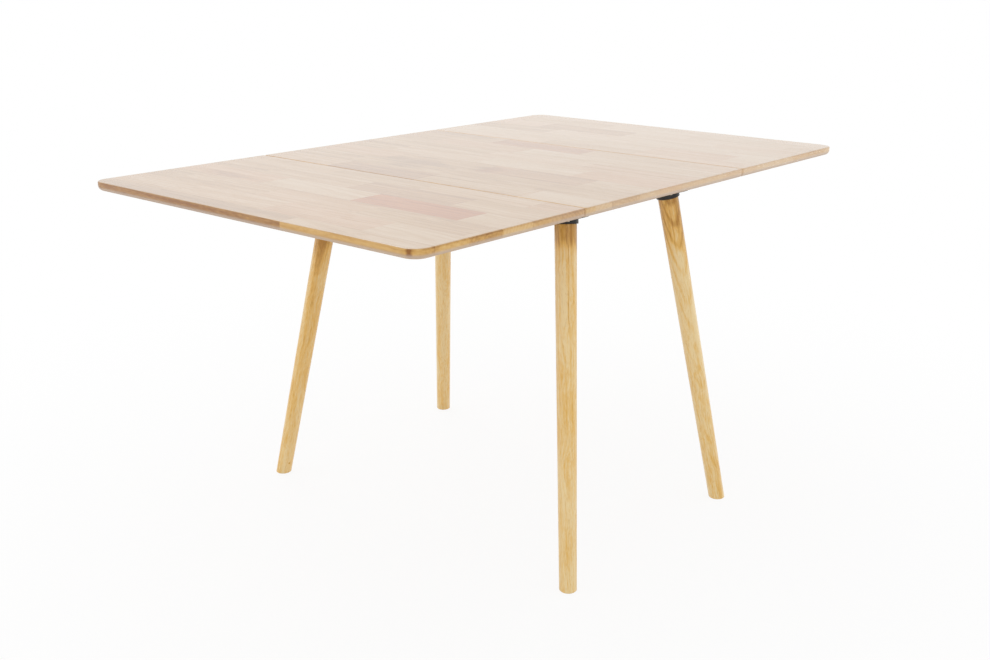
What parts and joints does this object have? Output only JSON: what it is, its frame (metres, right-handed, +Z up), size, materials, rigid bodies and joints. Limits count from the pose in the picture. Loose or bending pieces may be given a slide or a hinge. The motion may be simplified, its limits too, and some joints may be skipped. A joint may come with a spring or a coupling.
{
  "type": "butterfly folding table",
  "caption": "Drop-leaf dining table: rounded rectangular wooden top with hinged end leaves held by slotted stays, on splayed tapered round legs with angled metal mounting plates.",
  "frame": {"origin": "on the floor, below the centre of the table top", "axes": "+X along the open table from the left leaf to the right leaf, +Y across it from front to rear, +Z up"},
  "size_m": [1.372, 0.871, 0.74],
  "materials": {
    "top_board_wood": "satin clear varnish on edge-glued light hardwood staves",
    "leg_wood": "satin clear varnish on turned light hardwood",
    "underframe_wood": "plain sanded light hardwood",
    "black_plate": "semi-gloss black coating",
    "black_stay_steel": "satin black coating",
    "zinc_steel": "bright zinc plating"
  },
  "bodies": {
    "base": {"centre_board": "top_board_wood", "front_leg_batten": "underframe_wood", "rear_leg_batten": "underframe_wood", "front_stay_bearer": "underframe_wood", "rear_stay_bearer": "underframe_wood", "front_left_leg": "leg_wood", "front_right_leg": "leg_wood", "rear_left_leg": "leg_wood", "rear_right_leg": "leg_wood", "front_left_leg_plate": "black_plate", "front_right_leg_plate": "black_plate", "rear_left_leg_plate": "black_plate", "rear_right_leg_plate": "black_plate", "leg_hanger_bolts": "zinc_steel", "leg_plate_screws": "zinc_steel", "underframe_screws": "zinc_steel", "stay_studs": "zinc_steel", "centre_hinge_screws": "zinc_steel", "left_front_hinge_fixed_half": "zinc_steel", "left_middle_hinge_fixed_half": "zinc_steel", "left_rear_hinge_fixed_half": "zinc_steel", "right_front_hinge_fixed_half": "zinc_steel", "right_middle_hinge_fixed_half": "zinc_steel", "right_rear_hinge_fixed_half": "zinc_steel", "left_hinge_pins": "zinc_steel", "right_hinge_pins": "zinc_steel"},
    "left_leaf": {"left_leaf_board": "top_board_wood", "left_front_hinge_moving_half": "zinc_steel", "left_middle_hinge_moving_half": "zinc_steel", "left_rear_hinge_moving_half": "zinc_steel", "front_left_stay_bracket": "black_stay_steel", "rear_left_stay_bracket": "black_stay_steel", "left_stay_rivets": "zinc_steel", "left_leaf_screws": "zinc_steel"},
    "right_leaf": {"right_leaf_board": "top_board_wood", "right_front_hinge_moving_half": "zinc_steel", "right_middle_hinge_moving_half": "zinc_steel", "right_rear_hinge_moving_half": "zinc_steel", "front_right_stay_bracket": "black_stay_steel", "rear_right_stay_bracket": "black_stay_steel", "right_stay_rivets": "zinc_steel", "right_leaf_screws": "zinc_steel"},
    "front_left_stay_bar": {"front_left_stay": "black_stay_steel"},
    "rear_left_stay_bar": {"rear_left_stay": "black_stay_steel"},
    "front_right_stay_bar": {"front_right_stay": "black_stay_steel"},
    "rear_right_stay_bar": {"rear_right_stay": "black_stay_steel"}
  },
  "joints": [
    {"name": "left_leaf_hinge", "type": "hinge", "parent": "base", "child": "left_leaf", "pos_m": [-0.2685, 0, 0.721], "axis": [0, -1, 0], "range_deg": [0, 90]},
    {"name": "right_leaf_hinge", "type": "hinge", "parent": "base", "child": "right_leaf", "pos_m": [0.2685, 0, 0.721], "axis": [0, 1, 0], "range_deg": [0, 90]},
    {"name": "front_left_stay_pivot", "type": "hinge", "parent": "left_leaf", "child": "front_left_stay_bar", "pos_m": [-0.39302, -0.153, 0.71], "axis": [0, -1, 0], "range_deg": [-45, 0]},
    {"name": "rear_left_stay_pivot", "type": "hinge", "parent": "left_leaf", "child": "rear_left_stay_bar", "pos_m": [-0.39302, 0.153, 0.71], "axis": [0, -1, 0], "range_deg": [-45, 0]},
    {"name": "front_right_stay_pivot", "type": "hinge", "parent": "right_leaf", "child": "front_right_stay_bar", "pos_m": [0.39302, -0.153, 0.71], "axis": [0, 1, 0], "range_deg": [-45, 0]},
    {"name": "rear_right_stay_pivot", "type": "hinge", "parent": "right_leaf", "child": "rear_right_stay_bar", "pos_m": [0.39302, 0.153, 0.71], "axis": [0, 1, 0], "range_deg": [-45, 0]}
  ],
  "couplings": [
    {"joint": "front_left_stay_pivot", "follows": "left_leaf_hinge", "ratio": -0.5},
    {"joint": "rear_left_stay_pivot", "follows": "left_leaf_hinge", "ratio": -0.5},
    {"joint": "front_right_stay_pivot", "follows": "right_leaf_hinge", "ratio": -0.5},
    {"joint": "rear_right_stay_pivot", "follows": "right_leaf_hinge", "ratio": -0.5}
  ]
}
